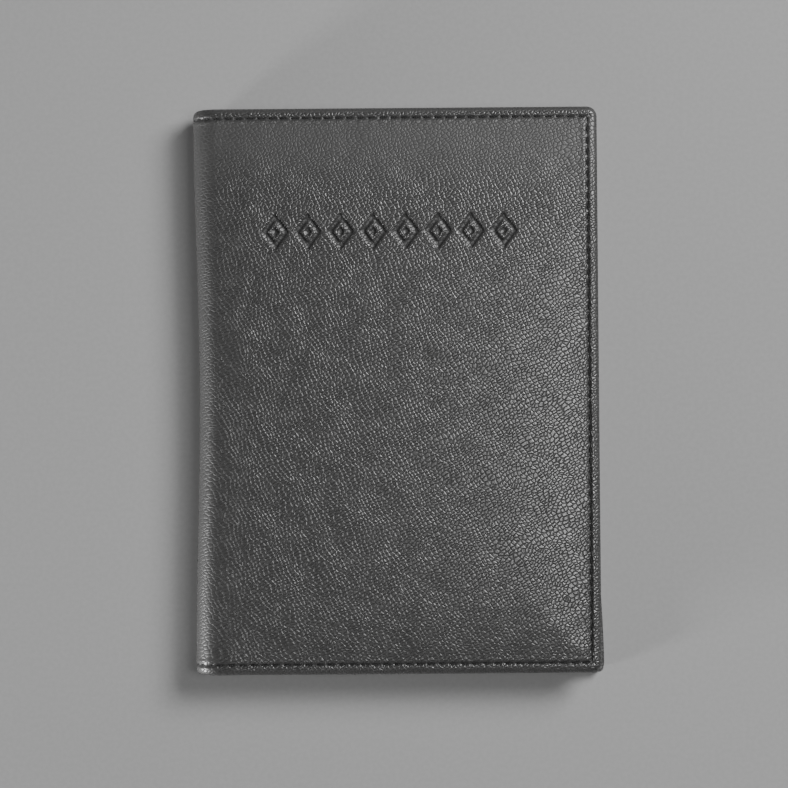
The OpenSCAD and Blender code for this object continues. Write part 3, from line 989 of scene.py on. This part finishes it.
def make_sleeve(name, side, low, high, left, row_name):
    """A slip sleeve, sewn into its cover's seam, with a row of stitches down its
    free edge at left(t)."""
    face = high[2] if side == "back" else THICK - low[2]
    columns, rows = sleeve_marks(low, high)
    sleeve = slab(name, side, columns, rows, face, high[2] - low[2],
                  lift=sheet_lift(left), left=left, corner=CORNER_R, grain=SHEET_GRAIN)
    finish_piece(sleeve, SMOOTH_LEATHER, "leather", side + "_sleeve")
    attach(sleeve, side + "_cover")
    row = stitches(row_name, side,
                   edge_row(left, low[1] + 2 * PITCH, high[1] - 2 * PITCH, side))
    finish_piece(row, THREAD, "thread", side + "_sleeve_thread")
    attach(row, side + "_cover")
    return sleeve


front_sleeve = make_sleeve("front_slip_sleeve", "front", front_sleeve_low,
                           front_sleeve_high, straight_left, "front_sleeve_stitches")
make_sleeve("back_slip_sleeve", "back", back_sleeve_low, back_sleeve_high, notched_left,
            "back_sleeve_stitches")


def make_pocket(name, node, low, high):
    """A card pocket: a sheet sewn down at its sides and foot, open at the top, with
    a row of stitches along that edge."""
    thickness = 0.45
    face = THICK - low[2]
    columns, rows = sleeve_marks(low, high)

    def left(t):
        """Lays the side's groove just inside the pocket's left edge."""
        return low[0] - 1 + 0 * t

    pocket = slab(name, "front", columns, rows, face, thickness,
                  lift=sheet_lift(left, top=high[1]), grain=SHEET_GRAIN)
    finish_piece(pocket, SMOOTH_LEATHER, "leather", node)
    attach(pocket, "front_cover")
    count = int((SEAM_X - low[0] - 3 * EDGE_ROW_IN) // PITCH)
    row = []
    for i in range(count):
        start = SEAM_X - PITCH / 2 - i * PITCH
        t = high[1] - EDGE_ROW_IN
        row.append(((start, t), (start - PITCH, t), face, -1))
    seam = stitches(name + "_stitches", "front", row)
    finish_piece(seam, THREAD, "thread", node + "_thread")
    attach(seam, "front_cover")
    return pocket


upper_pocket = make_pocket("upper_card_pocket", "card_pocket_upper", upper_low, upper_high)
make_pocket("lower_card_pocket", "card_pocket_lower", lower_low, lower_high)


# ------------------------------------------------------------ floor, lights and camera
# From here on lengths are in metres.

FLOOR_HALF = 1.5
FLOOR_BELOW = 0.0001                 # keeps the floor clear of the back cover's face
floor_mesh = bpy.data.meshes.new("backdrop")
floor_mesh.from_pydata([(-FLOOR_HALF, -FLOOR_HALF, 0), (FLOOR_HALF, -FLOOR_HALF, 0),
                        (FLOOR_HALF, FLOOR_HALF, 0), (-FLOOR_HALF, FLOOR_HALF, 0)],
                       [], [(0, 1, 2, 3)])
floor_mesh.materials.append(floor_material())
floor = add_object("backdrop", floor_mesh)
floor.location.z = -FLOOR_BELOW


def area_light(name, azimuth, elevation, distance, size, power):
    """A square soft light aimed at the holder. azimuth is from +X towards +Y."""
    a, e = math.radians(azimuth), math.radians(elevation)
    direction = Vector((math.cos(e) * math.cos(a), math.cos(e) * math.sin(a), math.sin(e)))
    data = bpy.data.lights.new(name, "AREA")
    data.size = size
    data.energy = power
    light = add_object(name, data)
    light.location = direction * distance
    light.rotation_euler = direction.to_track_quat("Z", "Y").to_euler()


area_light("key_light", azimuth=36, elevation=46, distance=0.9, size=0.38, power=8.3)
area_light("top_light", azimuth=-8, elevation=74, distance=0.85, size=0.20, power=1.2)
area_light("spine_light", azimuth=208, elevation=6, distance=0.7, size=0.12, power=6.6)

WORLD_STRENGTH = 0.010
world = bpy.data.worlds.new("studio")
world.use_nodes = True
background = world.node_tree.nodes["Background"]
background.inputs["Color"].default_value = (1, 1, 1, 1)
background.inputs["Strength"].default_value = WORLD_STRENGTH
bpy.context.scene.world = world

CAMERA_DISTANCE = 0.62
VIEW_WIDTH = 0.1958                  # what the frame spans at the front cover
TILT = 1.0                           # degrees off the vertical, towards the tail
ROLL = 0.45                          # degrees the holder is turned in the frame
AIM_X, AIM_Y = -0.0006, -0.0009      # what the camera looks at, on the front cover
camera_data = bpy.data.cameras.new("camera")
camera_data.angle = 2 * math.atan(VIEW_WIDTH / 2 / CAMERA_DISTANCE)
camera = add_object("camera", camera_data)
aim = Vector((AIM_X, AIM_Y, THICK * MM))
tilt = math.radians(TILT)
camera.location = aim + CAMERA_DISTANCE * Vector((0, -math.sin(tilt), math.cos(tilt)))
turn = Matrix.Rotation(tilt, 4, "X") @ Matrix.Rotation(math.radians(-ROLL), 4, "Z")
camera.rotation_euler = turn.to_euler()
bpy.context.scene.camera = camera
